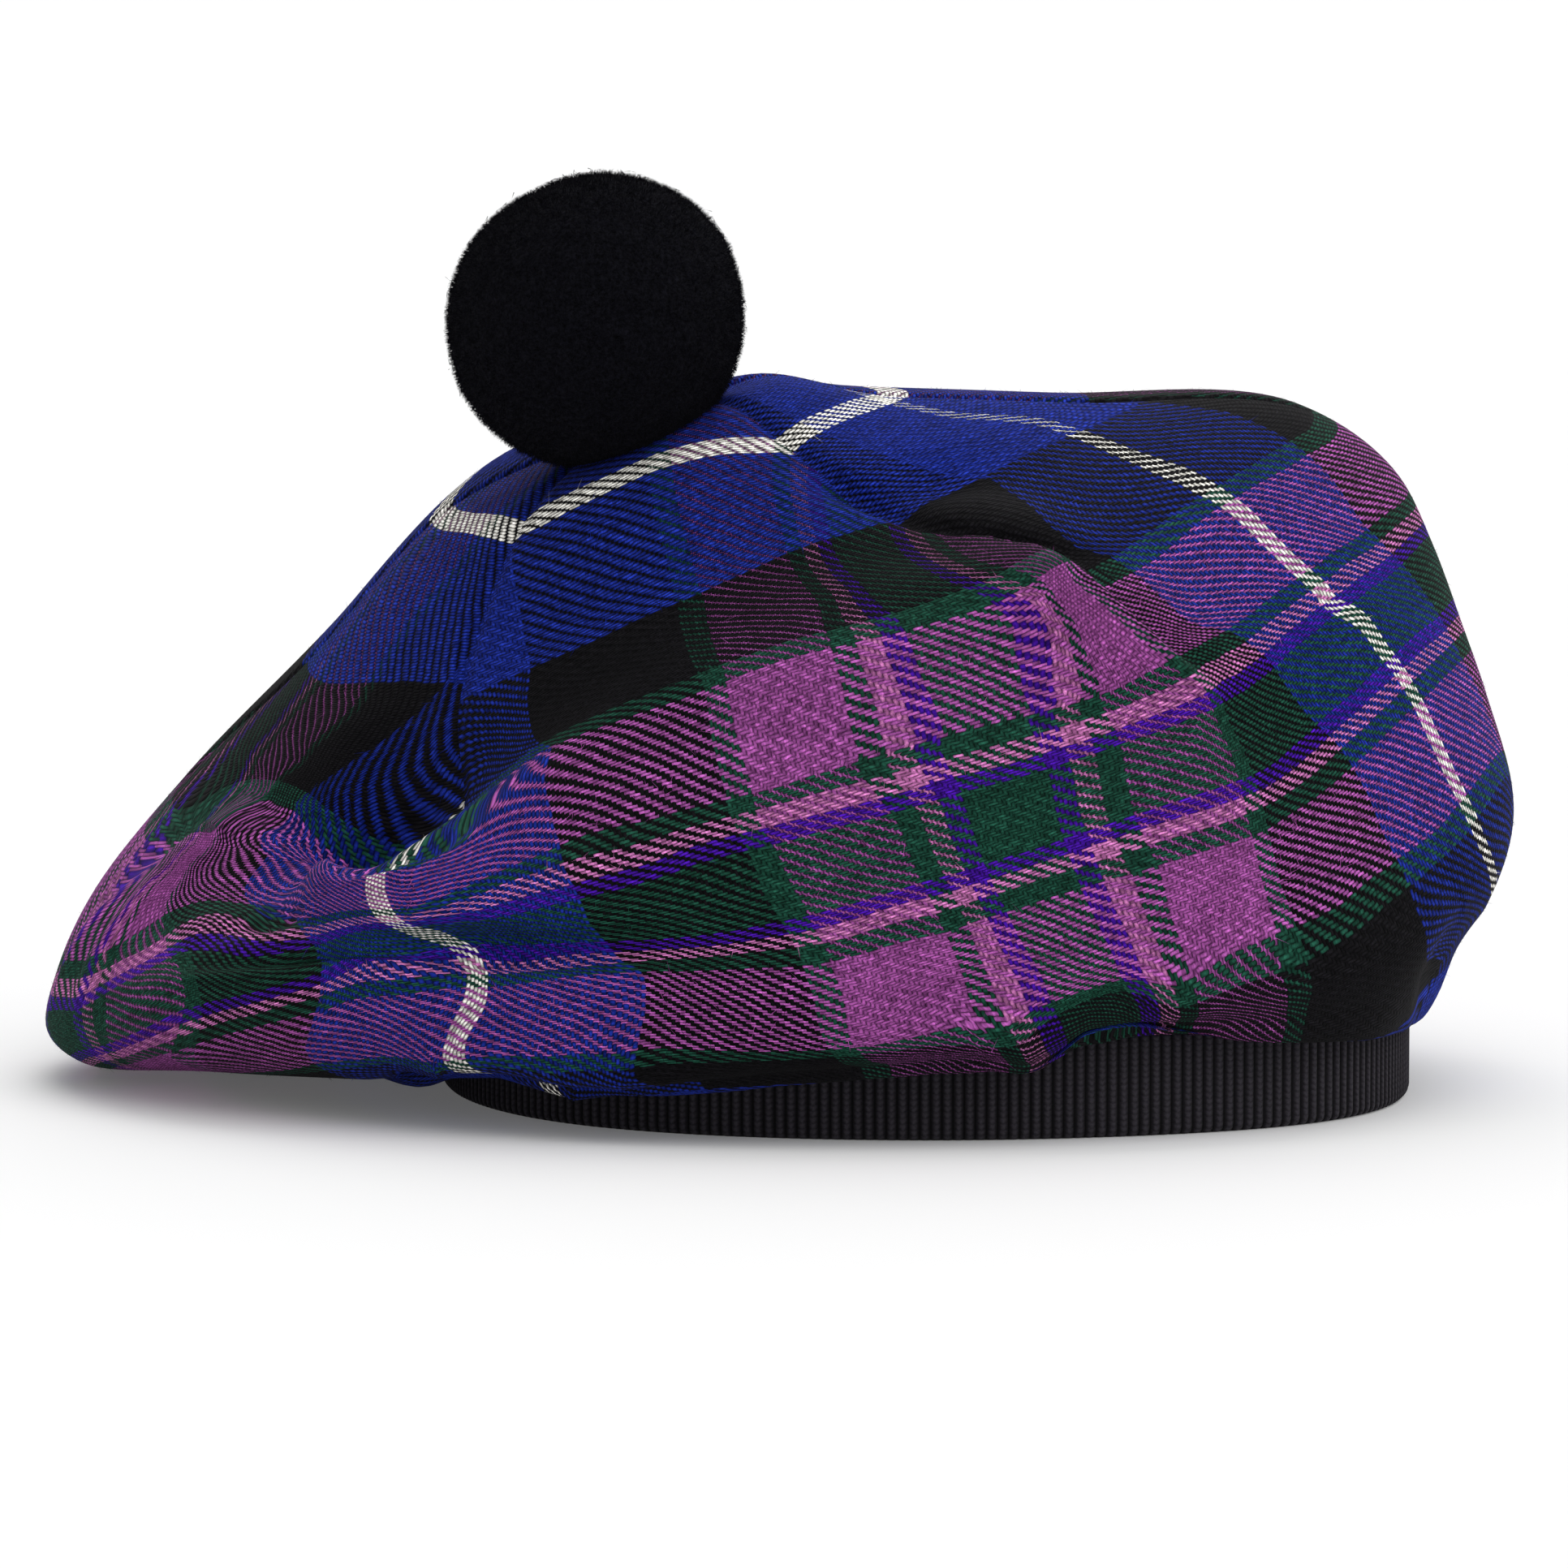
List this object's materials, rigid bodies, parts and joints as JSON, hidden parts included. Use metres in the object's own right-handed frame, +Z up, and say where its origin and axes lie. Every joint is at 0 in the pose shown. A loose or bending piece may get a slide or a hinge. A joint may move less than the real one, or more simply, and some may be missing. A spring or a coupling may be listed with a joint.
{
  "type": "tam o shanter",
  "caption": "Slouched round wool cap with a wide gored crown, a narrow ribbed headband and a pompom sewn on its peak.",
  "frame": {"origin": "centre of the head opening, on the surface that the headband rests on", "axes": "+Z up, through the opening into the crown; +X to the right of the picture's viewer, along the longest extent, away from the slouched tip; -Y towards the viewer"},
  "size_m": [0.281, 0.2219, 0.174],
  "materials": {
    "crown_cloth": "twill-woven wool in a check of blue, black, green, magenta and violet with white lines, matte",
    "ribbed_knit": "fine ribbed knit, charcoal, matte",
    "pompom_pile": "shorn wool pile, black, velvety"
  },
  "bodies": {
    "root": {"crown": "crown_cloth", "headband": "ribbed_knit", "pompom": "pompom_pile"}
  },
  "joints": []
}
